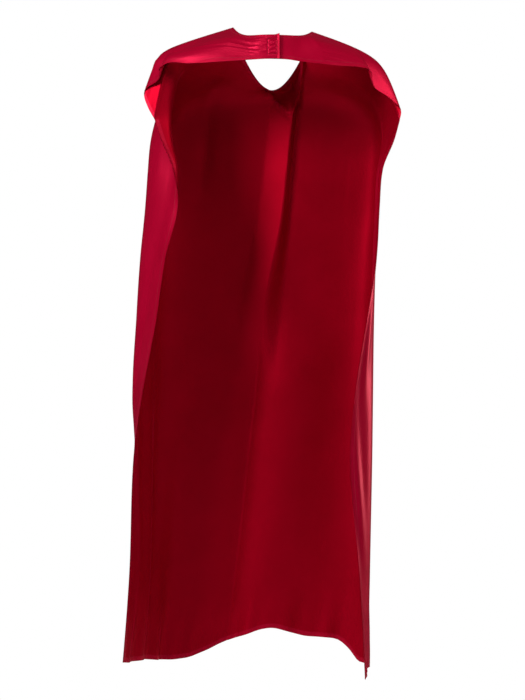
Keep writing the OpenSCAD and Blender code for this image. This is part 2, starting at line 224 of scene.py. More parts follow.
def strap(a, v, side):
    """A strap: the yoke carried on past the throat, moved forward (side -1) or back
    (side 1) by half the closed stack. The upper strap's end stands a little off, most
    of all at its top corner."""
    p = yoke(a, v)
    p[..., 1] += side * LAP * smooth(np.abs(a), STRAP_A + 4, 166)
    if side < 0:
        end = smooth(-a, 186.5, 190)
        p[..., 1] -= END_OFF * end
        p[..., 2] += END_OFF * smooth(-a, 182, 190) * smooth(1 - v, 0.72, 1)
    return p


# ---- Meshes ----
def grid_faces(rows, columns):
    """Four corners of every cell of a grid whose points are numbered row by row."""
    return cell_faces(np.arange(rows * columns).reshape(rows, columns))


def cell_faces(at):
    """Four corners of every cell of an array of point numbers."""
    return np.stack([at[:-1, :-1], at[:-1, 1:], at[1:, 1:], at[1:, :-1]], -1).reshape(-1, 4)


def tube_faces(count, rings, sides, first_cap, last_cap):
    """Four corners of every face of many tubes, each a number of rings of points: its
    wall, a cap on its first ring and a cap on its last."""
    i, k = np.meshgrid(np.arange(rings - 1), np.arange(sides), indexing="ij")
    k2 = (k + 1) % sides
    wall = np.stack([i * sides + k, i * sides + k2, (i + 1) * sides + k2, (i + 1) * sides + k],
                    -1).reshape(-1, 4)
    one = np.concatenate([wall, first_cap, np.array(last_cap) + (rings - 1) * sides])
    return (one[None] + (np.arange(count) * rings * sides)[:, None, None]).reshape(-1, 4)


def point_normals(points, faces):
    """Mean direction of the faces round each point, each face weighted by its area."""
    c = points[faces]
    across = np.cross(c[:, 2] - c[:, 0], c[:, 3] - c[:, 1])
    total = np.zeros_like(points)
    for k in range(4):
        np.add.at(total, faces[:, k], across)
    return unit(total)


def make_object(name, points, faces, finishes, finish_at=None, uv=None, normals=None,
                smooth_faces=True):
    """Mesh object of points in millimetres, with a UV in metres at each point."""
    mesh = bpy.data.meshes.new(name)
    mesh.from_pydata(np.asarray(points) * MM, [], faces)
    for finish in finishes:
        mesh.materials.append(finish)
    if finish_at is not None:
        mesh.polygons.foreach_set("material_index", np.asarray(finish_at, np.int32))
    mesh.polygons.foreach_set("use_smooth", np.full(len(mesh.polygons), smooth_faces))
    if uv is not None:
        corner = np.empty(len(mesh.loops), np.int32)
        mesh.loops.foreach_get("vertex_index", corner)
        layer = mesh.uv_layers.new(name="cloth")
        layer.data.foreach_set("uv", np.asarray(uv, np.float32)[corner].ravel())
    mesh.update()
    if normals is not None:
        mesh.normals_split_custom_set_from_vertices(np.asarray(normals))
    obj = bpy.data.objects.new(name, mesh)
    bpy.context.scene.collection.objects.link(obj)
    return obj


def layer(name, points, normals, faces, far, near, finishes, uv):
    """Closed layer between two offsets along the normals: an outer skin, the same skin
    turned over, and a wall along every edge that only one face has."""
    count = len(points)
    far, near = np.broadcast_to(far, count), np.broadcast_to(near, count)
    skins = np.concatenate([points + normals * far[:, None], points + normals * near[:, None]])
    edges = np.concatenate([faces[:, [k, (k + 1) % 4]] for k in range(4)])
    key = np.sort(edges, 1) @ np.array([count, 1])
    _, first, seen = np.unique(key, return_index=True, return_counts=True)
    rim = edges[first[seen == 1]]
    wall = np.stack([rim[:, 1], rim[:, 0], rim[:, 0] + count, rim[:, 1] + count], 1)
    every = np.concatenate([faces, faces[:, ::-1] + count, wall])
    inner = np.arange(len(every)) >= len(faces)
    return make_object(name, skins, every, finishes, inner * (len(finishes) - 1),
                       np.concatenate([uv, uv]), np.concatenate([normals, -normals]))


# ---- Finishes ----
# Soft colour patches to a metre, and how far roughness strays with them either way
PATCHES_PER_M = 14.0
ROUGH_STRAY = 0.05


def linear(hex_colour):
    """sRGB hex turned to the linear colour that shaders read."""
    c = np.array([int(hex_colour[i:i + 2], 16) for i in (1, 3, 5)]) / 255
    return (*np.where(c <= 0.04045, c / 12.92, ((c + 0.055) / 1.055) ** 2.4), 1.0)


def add(tree, kind, settings=(), links=()):
    """One node, with its settings and the sockets that feed it."""
    node = tree.nodes.new(kind)
    for key, value in dict(settings).items():
        if isinstance(key, str) and hasattr(node, key):
            setattr(node, key, value)
        else:
            node.inputs[key].default_value = value
    for socket, source in dict(links).items():
        tree.links.new(source, node.inputs[socket])
    return node


def finish(name, dark, light, rough, shader, creases=0.0, crease_mm=40.0, weave=0.0,
           weave_mm=1.5, stretch=(1.0, 1.0, 1.0)):
    """Cloth finish: two near colours in soft patches, roughness that follows them, and a
    bump of long creases with a fine weave over it. Sizes are in millimetres."""
    material = bpy.data.materials.new(name)
    material.use_nodes = True
    tree = material.node_tree
    tree.nodes.clear()
    uv = add(tree, "ShaderNodeUVMap", {"uv_map": "cloth"}).outputs["UV"]
    patches = add(tree, "ShaderNodeTexNoise",
                  {"Scale": PATCHES_PER_M, "Detail": 3.0, "Roughness": 0.55}, {"Vector": uv})
    colour = add(tree, "ShaderNodeMix", {"data_type": "RGBA"}, {"Factor": patches.outputs["Fac"]})
    colour.inputs[6].default_value = linear(dark)
    colour.inputs[7].default_value = linear(light)
    gloss = add(tree, "ShaderNodeMapRange",
                {"To Min": rough - ROUGH_STRAY, "To Max": rough + ROUGH_STRAY},
                {"Value": patches.outputs["Fac"]})
    drawn = add(tree, "ShaderNodeMapping", {"Scale": stretch}, {"Vector": uv})
    crease = add(tree, "ShaderNodeTexNoise",
                 {"Scale": 1000.0 / crease_mm, "Detail": 2.5, "Roughness": 0.45, "Distortion": 0.6},
                 {"Vector": drawn.outputs["Vector"]})
    bump = add(tree, "ShaderNodeBump", {"Strength": 1.0, "Distance": creases * MM},
               {"Height": crease.outputs["Fac"]})
    yarn = add(tree, "ShaderNodeMapping", {"Scale": (1.0, 0.25, 1.0)}, {"Vector": uv})
    threads = add(tree, "ShaderNodeTexNoise", {"Scale": 1000.0 / weave_mm, "Detail": 1.0},
                  {"Vector": yarn.outputs["Vector"]})
    bump = add(tree, "ShaderNodeBump", {"Strength": 1.0, "Distance": weave * MM},
               {"Height": threads.outputs["Fac"], "Normal": bump.outputs["Normal"]})
    cloth = add(tree, "ShaderNodeBsdfPrincipled", shader,
                {"Base Color": colour.outputs[2], "Roughness": gloss.outputs["Result"],
                 "Normal": bump.outputs["Normal"]})
    add(tree, "ShaderNodeOutputMaterial", (), {"Surface": cloth.outputs["BSDF"]})
    return material


PINK = linear("#ff7aa8")
# Long soft creases drawn down the cloth, the same on both sides of the satin
SATIN_CREASES = {"creases": 2.2, "crease_mm": 85.0, "weave": 0.03, "stretch": (1.0, 0.16, 1.0)}
# Face of polyester satin: long floats lie flat, so folds carry broad red lights
satin_face = finish("polyester satin, face", "#a60026", "#b4022e", 0.36,
                    {"Sheen Weight": 0.15, "Sheen Roughness": 0.35, "Sheen Tint": linear("#ff3a6a"),
                     "Metallic": 0.25, "Specular IOR Level": 0.25, "Specular Tint": PINK},
                    **SATIN_CREASES)
# Back of the same satin: short floats scatter the light, so it reads deeper and duller
satin_back = finish("polyester satin, back", "#960016", "#a4001c", 0.43,
                    {"Sheen Weight": 0.7, "Sheen Roughness": 0.3, "Sheen Tint": linear("#ff1a50"),
                     "Metallic": 0.4, "Specular IOR Level": 0.08, "Specular Tint": PINK},
                    **SATIN_CREASES)
# Turned hem: satin folded double and puckered by its stitches
satin_hem = finish("polyester satin, turned hem", "#a4021e", "#b2062a", 0.42,
                   {"Metallic": 0.3, "Specular IOR Level": 0.3, "Specular Tint": PINK},
                   creases=0.5, crease_mm=9.0, weave=0.03)
# Spun polyester sewing thread: matt, a little lighter on its crowns
sewing_thread = finish("spun polyester thread", "#8a0a22", "#b01c3a", 0.6,
                       {"Sheen Weight": 0.2, "Sheen Roughness": 0.4, "Sheen Tint": PINK},
                       weave=0.04, weave_mm=0.6)
# Woven nylon ground of the hook tape, with stiff hooks of the same colour
hook_nylon = finish("nylon hook tape", "#5e0616", "#720a1e", 0.45, {"Specular IOR Level": 0.5},
                    weave=0.2, weave_mm=1.0)
# Brushed nylon loops: soft and matt
loop_nylon = finish("brushed nylon loop tape", "#7c0a20", "#941430", 0.75,
                    {"Sheen Weight": 0.5, "Sheen Roughness": 0.5, "Sheen Tint": PINK},
                    weave=0.25, weave_mm=1.2)

# ---- Cape cloth: yoke and hanging panel in one ----
CLOTH_T = 0.6
HALF = CLOTH_T / 2
HEM_W = 9.0
# Angle at which the yoke ends and the straps go on
FRONT_A = 128.0
YOKE_ROWS = 31
# About how far the panel runs from the yoke line to its hem
PANEL_RUN = 1010
# Column of the main fold, as an angle, and where it runs to at the neckline and the hem
FOLD_A = 4.3
FOLD_V = [0, 0.05, 0.1, 0.2, 0.3, 0.4, 0.5, 0.6, 0.8, 1]
FOLD_YOKE_A = [52, 30, 18.6, 11.4, 8.8, 7.2, 6.4, 5.6, 4.8, 4.3]
FOLD_Q = [0, 0.25, 0.5, 0.75, 1]
FOLD_LINE = [4.23, 4.16, 4.10, 3.93, 3.73]


def spaced(places, lengths, step):
    """Places whose spacing along the given lengths is the given step at each."""
    count = np.concatenate([[0], np.cumsum(np.diff(lengths) * 2 / (step[1:] + step[:-1]))])
    return np.interp(np.linspace(0, count[-1], int(math.ceil(count[-1])) + 1), count, places)


def lengths_along(points, axis):
    """Distance run along one axis of a grid of points, from its first point."""
    run = np.linalg.norm(np.diff(points, axis=axis), axis=-1)
    first = np.zeros_like(np.take(run, [0], axis=axis))
    return np.concatenate([first, np.cumsum(run, axis=axis)], axis=axis)


def yoke_angle(u, v):
    """Angle that column u reaches at share v: the columns lean so that one follows the
    main fold."""
    fold = through(FOLD_V, FOLD_YOKE_A, v)
    left = -SIDE_A + (u + SIDE_A) * (fold + SIDE_A) / (FOLD_A + SIDE_A)
    right = SIDE_A - (SIDE_A - u) * (SIDE_A - fold) / (SIDE_A - FOLD_A)
    return np.where(np.abs(u) >= SIDE_A, u, np.where(u < FOLD_A, left, right))


def panel_line(u, q):
    """Line number that column u reaches at share q of the drop, leaning the same way."""
    s = 4 * (1 + u / SIDE_A)
    fold, first = through(FOLD_Q, FOLD_LINE, q), FOLD_LINE[0]
    return np.where(s < first, s * fold / first, 8 - (8 - s) * (8 - fold) / (8 - first))


def column_angles():
    """Columns about 5 mm apart, closer along the main fold and at the free edges, spaced
    a little above the middle of the drop."""
    u = np.linspace(-SIDE_A, SIDE_A, 1201)
    middle = 0.45 + 0 * u
    run = lengths_along(hanging(panel_line(u, middle), middle)[None], 1)[0]
    from_fold = run - np.interp(FOLD_A, u, run)
    from_edge = np.minimum(run, run[-1] - run)
    step = 5.4 - 3.3 * hump(from_fold, -17, 32) - 2.4 * hump(from_edge, 0, 14)
    back = spaced(u, run, step)
    fronts = []
    for side in (-1, 1):
        a = side * np.linspace(SIDE_A, FRONT_A, 301)
        run = lengths_along(yoke(a, 1.0 + 0 * a)[None], 1)[0]
        fronts.append(spaced(a, run, 5.2 + 0 * run))
    return np.concatenate([fronts[0][:0:-1], back, fronts[1][1:]])


columns = column_angles()
dense = np.linspace(0, 1, 241)[:, None]
dense_points = yoke(yoke_angle(columns[None], dense), dense + 0 * columns[None])
dense_run = lengths_along(dense_points, 0)
shares = np.linspace(0, 1, YOKE_ROWS)
yoke_v = np.stack([np.interp(shares, r / r[-1], dense[:, 0]) for r in dense_run.T], 1)
yoke_base = yoke(yoke_angle(columns[None] + 0 * yoke_v, yoke_v), yoke_v)

in_panel = np.where(np.abs(columns) <= SIDE_A + 1e-9)[0]
panel_u = columns[in_panel]
q_fine = np.linspace(0, 1, 801)
q_step = 5.6 - 3.0 * hump(q_fine * PANEL_RUN, PANEL_RUN, 16)
panel_q = spaced(q_fine, q_fine * PANEL_RUN, q_step)
panel_base = hanging(panel_line(panel_u[None], panel_q[:, None] + 0 * panel_u[None]),
                     panel_q[:, None] + 0 * panel_u[None])

# The yoke runs into the panel without a break: along each column, points near the yoke
# line move to the mean of themselves and their two neighbours, many times over
column_run = np.concatenate([yoke_base[:, in_panel], panel_base[1:]])
SEAM_ROW = YOKE_ROWS - 1
easing = 0.5 * hump(np.arange(len(column_run)), SEAM_ROW, 7)[1:-1, None, None]
easing = easing * smooth(-np.abs(panel_u), -72, -45)[None, :, None]
for _ in range(60):
    middle = (column_run[:-2] + column_run[2:]) / 2
    column_run[1:-1] += easing * (middle - column_run[1:-1])
yoke_base[:, in_panel] = column_run[:YOKE_ROWS]
panel_base = column_run[SEAM_ROW:]

yoke_at = np.arange(yoke_base[..., 0].size).reshape(yoke_base.shape[:2])
below = yoke_at.size + np.arange(panel_base[1:, :, 0].size).reshape(panel_base[1:].shape[:2])
panel_at = np.concatenate([yoke_at[-1:, in_panel], below])
cape_faces = np.concatenate([cell_faces(yoke_at), cell_faces(panel_at)])
cape_points = np.concatenate([yoke_base.reshape(-1, 3), panel_base[1:].reshape(-1, 3)])

# Each point's distance across from the main fold, down from the yoke line and down from
# the neckline, where a point of the panel counts as far from it
FAR = 999.0
yoke_across = lengths_along(yoke_base, 1)
fold_column = int(np.argmin(np.abs(columns - FOLD_A)))
yoke_across -= yoke_across[:, fold_column:fold_column + 1]
panel_across = lengths_along(panel_base, 1)
fold_panel = fold_column - in_panel[0]
panel_across -= panel_across[:, fold_panel:fold_panel + 1]
yoke_down = lengths_along(yoke_base, 0)
yoke_from_neck = yoke_down.copy()
yoke_down = yoke_down - yoke_down[-1:]
panel_down = lengths_along(panel_base, 0)
across = np.concatenate([yoke_across.ravel(), panel_across[1:].ravel()])
down = np.concatenate([yoke_down.ravel(), panel_down[1:].ravel()])
from_neck = np.concatenate([yoke_from_neck.ravel(), FAR + 0 * panel_down[1:].ravel()])
angle = np.concatenate([(columns[None] + 0 * yoke_v).ravel(),
                        (panel_u[None] + 0 * panel_q[1:, None]).ravel()])


# The lip of the pocket below the back neckline: a place on it, a direction square to it
# with that direction's length, and its height
LIP_X, LIP_Z = -19, -89
LIP_WAY_X, LIP_WAY_Z, LIP_WAY = 41, 39.5, 57
LIP_H = 2.6


def cowl_pocket(points, from_neck):
    """How far the cloth below the back neckline lies back: a pocket right of a lip that
    slants down from the middle of the neckline to the main fold."""
    x, y, z = points.T
    past_lip = ((x - LIP_X) * LIP_WAY_X + (z - LIP_Z) * LIP_WAY_Z) / LIP_WAY
    depth = 3 * smooth(past_lip, 0, 3) + 0.85 * np.clip(past_lip, 0, 40)
    near = smooth(-x, -62, -30) * smooth(z, -158, -120)
    lip = LIP_H * hump(past_lip, -3.5, 3)
    return (depth - lip) * near * smooth(from_neck, 1, 9) * (y > 0)


# How far the main fold strays left of its column, by the distance down from the yoke line
SHIFT_AT = [-190, -60, 163, 350, 560, 780, 1040]
FOLD_SHIFT = [0, 2, 12, 38, 42, 36, 28]


# Heights of the main fold where it starts, the crease left of the neck, the slow waves,
# the pleats of the left and right wall, and the hem's tucks
FOLD_H = 9
CREASE_H = 5
WAVE_H = 1.3
LEFT_PLEAT_H = 7
RIGHT_PLEAT_H = 3
TUCK_H = 2.6


def folds(across, down, angle):
    """How far the cloth stands in from its plain shape: high up, the main fold swells
    slowly on its left and drops off on its right, and low down it starts from a valley
    and dies away on its right. A bell-shaped crease runs down from the left of the neck,
    and sines of the distance across give the slow waves, the pleats of the two walls and
    the small tucks at the hem."""
    behind = smooth(-np.abs(angle), -74, -50)
    from_fold = across + through(SHIFT_AT, FOLD_SHIFT, down)
    size = 8 * smooth(down, -190, -40) + 2 * smooth(down, 100, 300) + FOLD_H
    flank = 13 + 34 * smooth(down, -180, -40)
    fall = 5 + 30 * smooth(down, 60, 330)
    upper = np.where(from_fold < 0, np.clip(1 + from_fold / flank, 0, 1) ** 1.15,
                     1 - smooth(from_fold / fall, 0, 1))
    lower = np.where(from_fold < 0, -0.35 * hump(from_fold, 0, 30),
                     1.05 - 1.4 * np.exp(-np.maximum(from_fold, 0) / 28))
    lower = lower * smooth(-from_fold, -180, -50)
    turned = smooth(down, 290, 500)
    swell = upper * (1 - turned) + lower * turned
    inward = size * swell * behind
    crease = hump(across, -166, 17) * smooth(down, -190, -120) * smooth(-down, -190, -20)
    inward -= CREASE_H * crease
    slow = np.sin(across / 41 + 1.1 * np.sin(down / 230)) + np.sin(across / 27 - down / 340)
    inward += WAVE_H * slow * smooth(down, -60, 200)
    pleats = hump(angle, -28, 10) * np.sin(across / 11 - down / 500 + 2.0)
    inward += LEFT_PLEAT_H * pleats * smooth(down, 260, 620)
    pleats = hump(angle, 62, 9) * np.sin(across / 8 + down / 260)
    inward += RIGHT_PLEAT_H * pleats * smooth(down, -60, 120)
    tucks = np.sin(across / 11 + 0.8 * np.sin(across / 37)) + 0.6 * np.sin(across / 6.3)
    depth = TUCK_H - 1.9 * smooth(np.abs(angle), 56, 72)
    inward += depth * tucks * smooth(down, 860, PANEL_RUN)
    return inward


# Each wrinkle: its place in the strap's height at the closure, how far it strays on the
# way to the shoulder, its height in mm, its width, and where on the way it starts and stops
WRINKLES = [(0.16, 0.10, 0.7, 0.045, 0.1, 0.55), (0.28, 0.04, 1.0, 0.05, 0.2, 0.8),
            (0.42, -0.10, 0.8, 0.05, 0.15, 0.5), (0.46, 0.10, 1.3, 0.05, 0.3, 1.5),
            (0.58, 0.12, 1.3, 0.05, 0.5, 1.9), (0.68, 0.02, 0.8, 0.045, 0.15, 0.6),
            (0.74, 0.06, 1.3, 0.05, 0.5, 1.7), (0.86, 0.02, 0.9, 0.04, 0.6, 1.3)]


def wrinkles(a, v):
    """Tension wrinkles that fan out from the closure over the left shoulder: long narrow
    ridges, each nearly straight, that rise and die away along the strap."""
    away = (a + 180) / 55
    lift = 0 * v
    for place, spread, height, wide, start, stop in WRINKLES:
        along = smooth(away, start - 0.1, start + 0.1) * smooth(-away, -stop - 0.25, -stop + 0.1)
        lift = lift + height * along * hump(v, place + spread * away, wide)
    return lift * smooth(a, -186, -176)


normals = point_normals(cape_points, cape_faces)
shift = -folds(across, down, angle)
shift[:yoke_at.size] += wrinkles((columns[None] + 0 * yoke_v).ravel(), yoke_v.ravel())
pocket = cowl_pocket(cape_points, from_neck)
cape_points = cape_points + normals * shift[:, None]
cape_points[:, 1] += pocket
normals = point_normals(cape_points, cape_faces)
cape_uv = np.stack([across, -down], -1) * MM


def bends_with_panel(piece):
    """Bakes the piece's placement into its mesh."""
    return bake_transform(piece)


cape = layer("cape_cloth", cape_points, normals, cape_faces, HALF, -HALF,
             [satin_face, satin_back], cape_uv)
bends_with_panel(cape)
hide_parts("shoulder_yoke", "back_panel")

# ---- Straps and closure tab ----
# Where the tab starts, and how far each strap runs on past the throat's middle
TAB_X = -30.0
OVER_LAP = 12.5
UNDER_LAP = 20.0
STRAP_H = 45.0
# The patches' width, height and middle, and how far their box of stitches lies inside
PATCH_W = 19.0
PATCH_H = 31.0
PATCH_X = OVER_LAP - 13.0
BOX_INSET = 1.2
STRAP_ROWS = 37
COLUMNS_PER_DEGREE = 1.2


def reach(x):
    """Angle beyond the throat's middle at which a strap lies at overhang x."""
    return 180 + math.degrees(math.asin(x / NECK_R))


def band(first, last, side, rucked=False):
    """Points and normals of a strap's cloth between two angles, with columns about 1 mm
    apart. The upper strap is rucked: it has tension wrinkles and a quilted tab."""
    a = np.linspace(first, last, int(abs(last - first) * COLUMNS_PER_DEGREE) + 2)
    v = np.linspace(0, 1, STRAP_ROWS)[:, None]
    wide_a = np.concatenate([[2 * a[0] - a[1]], a, [2 * a[-1] - a[-2]]])
    p = strap(wide_a[None] + 0 * v, v + 0 * wide_a[None], side)
    faces = grid_faces(*p.shape[:2])
    if first > last:
        faces = faces[:, ::-1]
    n = point_normals(p.reshape(-1, 3), faces).reshape(p.shape)
    if rucked:
        wide_a, v = wide_a[None] + 0 * v, v + 0 * wide_a[None]
        p = p + n * (wrinkles(wide_a, v) + quilting(wide_a, v))[..., None]
    n = point_normals(p.reshape(-1, 3), faces).reshape(p.shape)
    return p[:, 1:-1], n[:, 1:-1]


def quilting(a, v):
    """Bell-shaped dent along the stitched box on the tab, and small rucks inside it, the
    sum of two sines."""
    x = -NECK_R * np.sin(np.radians(a + 180)) - PATCH_X
    edge = np.maximum(np.abs(x) - PATCH_W / 2 + BOX_INSET,
                      np.abs(v - 0.5) * STRAP_H - PATCH_H / 2 + BOX_INSET)
    inside = smooth(-edge, 0.3, 2.5)
    rucks = 0.45 * np.sin(v * 34 + x / 6 + 1.0) + 0.25 * np.sin(v * 61 - x / 4)
    return inside * (0.5 + rucks) - 0.7 * hump(edge, 0, 1.1)


def grid_layer(name, p, n, far, near, finishes, uv=None):
    """Closed layer over a whole grid, its UV being the run along each way of the grid."""
    if uv is None:
        uv = np.stack([lengths_along(p, 1), -lengths_along(p, 0)], -1).reshape(-1, 2) * MM
    points, out = p.reshape(-1, 3), n.reshape(-1, 3)
    faces = grid_faces(*p.shape[:2])
    c = points[faces]
    facing = (np.cross(c[:, 2] - c[:, 0], c[:, 3] - c[:, 1]) * out[faces[:, 0]]).sum()
    if facing < 0:
        faces = faces[:, ::-1]
    return layer(name, points, out, faces, np.broadcast_to(far, p.shape[:2]).ravel(),
                 np.broadcast_to(near, p.shape[:2]).ravel(), finishes, uv)


def bends_at_over_strap(piece):
    """Bakes the upper strap piece's placement into its mesh."""
    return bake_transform(piece)


def bends_at_tab(piece):
    """Bakes the tab piece's placement into its mesh."""
    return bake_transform(piece)


def bends_at_under_strap(piece):
    """Bakes the lower strap piece's placement into its mesh."""
    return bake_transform(piece)


tab_start = -reach(TAB_X)
over_p, over_n = band(-FRONT_A, tab_start, -1, rucked=True)
tab_p, tab_n = band(tab_start, -reach(OVER_LAP), -1, rucked=True)
under_p, under_n = band(FRONT_A, reach(UNDER_LAP), 1)
for name, p, n, bends, stands_for in (
        ("over_strap_cloth", over_p, over_n, bends_at_over_strap, "over_strap"),
        ("tab_cloth", tab_p, tab_n, bends_at_tab, "closure_tab"),
        ("under_strap_cloth", under_p, under_n, bends_at_under_strap, "under_strap")):
    piece = grid_layer(name, p, n, HALF, -HALF, [satin_face, satin_back])
    bends(piece)
    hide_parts(stands_for)

# ---- Turned hems ----
STRAP_HEM_W = 7.0
TAB_END_HEM_W = 5.0
# How far in from a hem's inner edge its row of stitches runs
STITCH_IN = 1.4
# Section of a turned hem at seven places from its edge in: the last three are taken from
# the hem's width. Offsets of its two faces are from the cloth's middle, outward positive.
HEM_LIP = [0, 0.5, 1.3, 2.5]
HEM_FAR = np.array([0.15, 0.42, 0.50, 0.10, -0.28, -0.28, -0.28])
HEM_NEAR = np.array([-0.45, -0.90, -1.00, -0.85, -0.78, -0.76, -0.45])


def at_runs(p, n, runs):
    """Points and normals at given distances along the second way of a grid."""
    length = lengths_along(p, 1)
    both = np.concatenate([p, n], -1)
    out = np.stack([np.stack([np.interp(runs, length[i], both[i, :, k]) for k in range(6)], -1)
                    for i in range(len(p))])
    return out[..., :3], unit(out[..., 3:])


def turned_hem(name, p, n, bends, stands_for, width=HEM_W):
    """Hem turned to the inner face along the first column of a grid: a rounded lip round
    the cloth's edge, then a flat strip to the stitch line. The second way of the grid
    runs inward from the edge."""
    runs = np.array(HEM_LIP + [width * 0.6, width - 0.6, width])
    points, out = at_runs(p, n, runs)
    piece = grid_layer(name, points, out, HEM_FAR, HEM_NEAR, [satin_hem])
    bends(piece)
    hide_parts(*stands_for)
    return piece


# ---- Stitches ----
STITCH_PITCH = 3.4
BOX_PITCH = 2.6
STITCH_SIDES = 6
# Radius of the sewing thread and how far a stitch's middle stands off the cloth
THREAD_R = 0.26
THREAD_BOW = 0.10


def stitch_row(name, p, n, lift, bends, stands_for, pitch=STITCH_PITCH):
    """A row of machine stitches along a line of points: each a short grain of thread,
    thick in its middle and thin at both ends, that dips into the cloth at its ends."""
    run = lengths_along(p[None], 1)[0]
    count = max(2, int(run[-1] / pitch))
    middles = (np.arange(count) + 0.5) * run[-1] / count
    place = np.stack([np.interp(middles, run, p[:, k]) for k in range(3)], -1)
    ahead = np.stack([np.interp(middles + 1, run, p[:, k]) for k in range(3)], -1)
    behind = np.stack([np.interp(middles - 1, run, p[:, k]) for k in range(3)], -1)
    up = unit(np.stack([np.interp(middles, run, n[:, k]) for k in range(3)], -1))
    along = unit(ahead - behind)
    aside = unit(np.cross(along, up))
    t = np.linspace(-1, 1, 6)
    turn = np.arange(STITCH_SIDES) * 2 * math.pi / STITCH_SIDES
    radius = THREAD_R * np.sqrt(np.clip(1.02 - t * t, 0.02, 1))
    bow = lift + THREAD_BOW - 0.30 * t ** 4
    ring = (place[:, None, None] + along[:, None, None] * (t * 0.44 * pitch)[None, :, None, None]
            + up[:, None, None] * (bow[:, None] + radius[:, None] * np.sin(turn))[None, ..., None]
            + aside[:, None, None] * (radius[:, None] * np.cos(turn))[None, ..., None])
    faces = tube_faces(count, len(t), STITCH_SIDES, [[5, 4, 3, 2], [5, 2, 1, 0]],
                       [[0, 1, 2, 3], [0, 3, 4, 5]])[:, ::-1]
    uv = np.stack([np.repeat(middles, len(t) * STITCH_SIDES), np.tile(turn, count * len(t))],
                  -1) * MM
    piece = make_object(name, ring.reshape(-1, 3), faces, [sewing_thread], uv=uv)
    bends(piece)
    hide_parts(*stands_for)
    return piece


def rides(body):
    """A piece that moves with one body only."""
    return lambda piece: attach(piece, body)


yoke_p = cape_points[yoke_at]
yoke_n = normals[yoke_at]
panel_p = cape_points[panel_at]
panel_n = normals[panel_at]
left_columns = slice(0, in_panel[0] + 1)
right_columns = slice(in_panel[-1], len(columns))


def hem_and_stitches(stem, p, n, bends, hems, threads, width=HEM_W):
    """A hem with its row of stitches on the outer face."""
    made = [turned_hem(stem + "_hem_fold", p, n, bends, hems, width)]
    line, out = at_runs(p, n, np.array([width - STITCH_IN]))
    made.append(stitch_row(stem + "_stitches", line[:, 0], out[:, 0], HALF, bends, threads))
    return made


def sideways(grid, rows, columns):
    """Part of a grid turned so that its rows run inward from the edge."""
    return np.swapaxes(grid[rows, columns], 0, 1)


EVERY = slice(None)
NECK_ROWS = slice(0, 6)
EDGE_ROWS = slice(None, -8, -1)
cape_trim = hem_and_stitches(
    "neckline", sideways(yoke_p, NECK_ROWS, EVERY), sideways(yoke_n, NECK_ROWS, EVERY),
    bends_with_panel, ["neckline_hem"], ["neckline_thread"])
for stem, part, threads in (("left_shoulder", left_columns, ["shoulder_thread"]),
                            ("right_shoulder", right_columns, [])):
    cape_trim += hem_and_stitches(
        stem, sideways(yoke_p, EDGE_ROWS, part), sideways(yoke_n, EDGE_ROWS, part),
        bends_with_panel, [stem + "_hem"], threads)
cape_trim += hem_and_stitches("left_side", panel_p[:, :8], panel_n[:, :8], bends_with_panel,
                              ["left_side_hem"], ["left_side_thread"])
cape_trim += hem_and_stitches("right_side", panel_p[:, :-9:-1], panel_n[:, :-9:-1],
                              bends_with_panel, ["right_side_hem"], ["right_side_thread"])
cape_trim += hem_and_stitches(
    "bottom", sideways(panel_p, EDGE_ROWS, EVERY), sideways(panel_n, EDGE_ROWS, EVERY),
    bends_with_panel, ["bottom_hem"], ["bottom_thread"])


# Rows of a strap read inward from its upper edge and from its lower edge
STRAP_EDGES = (("upper", EVERY), ("lower", slice(None, None, -1)))


def strap_trim(stem, p, n, bends, hems, threads):
    """Hem and stitches along a strap's upper and lower edge."""
    made = []
    for edge, rows in STRAP_EDGES:
        made += hem_and_stitches(stem + "_" + edge, sideways(p, rows, EVERY),
                                 sideways(n, rows, EVERY), bends, hems, threads, STRAP_HEM_W)
    return made


over_trim = strap_trim("over_strap", over_p, over_n, bends_at_over_strap,
                       ["over_strap_hem"], ["over_strap_thread"])
under_trim = strap_trim("under_strap", under_p, under_n, bends_at_under_strap,
                        ["under_strap_hem"], ["under_strap_thread"])
tab_trim = [turned_hem("tab_end_fold", tab_p[:, ::-1], tab_n[:, ::-1], bends_at_tab,
                       ["tab_hem"], TAB_END_HEM_W)]
for edge, rows in STRAP_EDGES:
    tab_trim.append(turned_hem("tab_" + edge + "_fold", sideways(tab_p, rows, EVERY),
                               sideways(tab_n, rows, EVERY), bends_at_tab, [], STRAP_HEM_W))

# ---- Hook-and-loop closure ----
# The near and far face of both tapes' grounds and the feet of the pile on them, all as
# distances from the middle of the strap's cloth
GROUND_NEAR = 0.62
GROUND_FAR = 1.12
PILE_FOOT = 1.1


def patch_grid(side, inset=0.0, across_n=12, down_n=20):
    """Patch place on a strap: even steps over its width and height, less an inset."""
    half_w, half_h = PATCH_W / 2 - inset, PATCH_H / 2 - inset
    x = np.linspace(PATCH_X + half_w, PATCH_X - half_w, across_n)
    v = np.linspace(0.5 - half_h / STRAP_H, 0.5 + half_h / STRAP_H, down_n)[:, None]
    a = side * (180 - side * np.degrees(np.arcsin(x / NECK_R)))
    p = strap(a[None] + 0 * v, v + 0 * a[None], side)
    n = point_normals(p.reshape(-1, 3), grid_faces(*p.shape[:2])).reshape(p.shape)
    n *= np.where(n[..., 1:2] > 0, -1, 1)
    return p, n


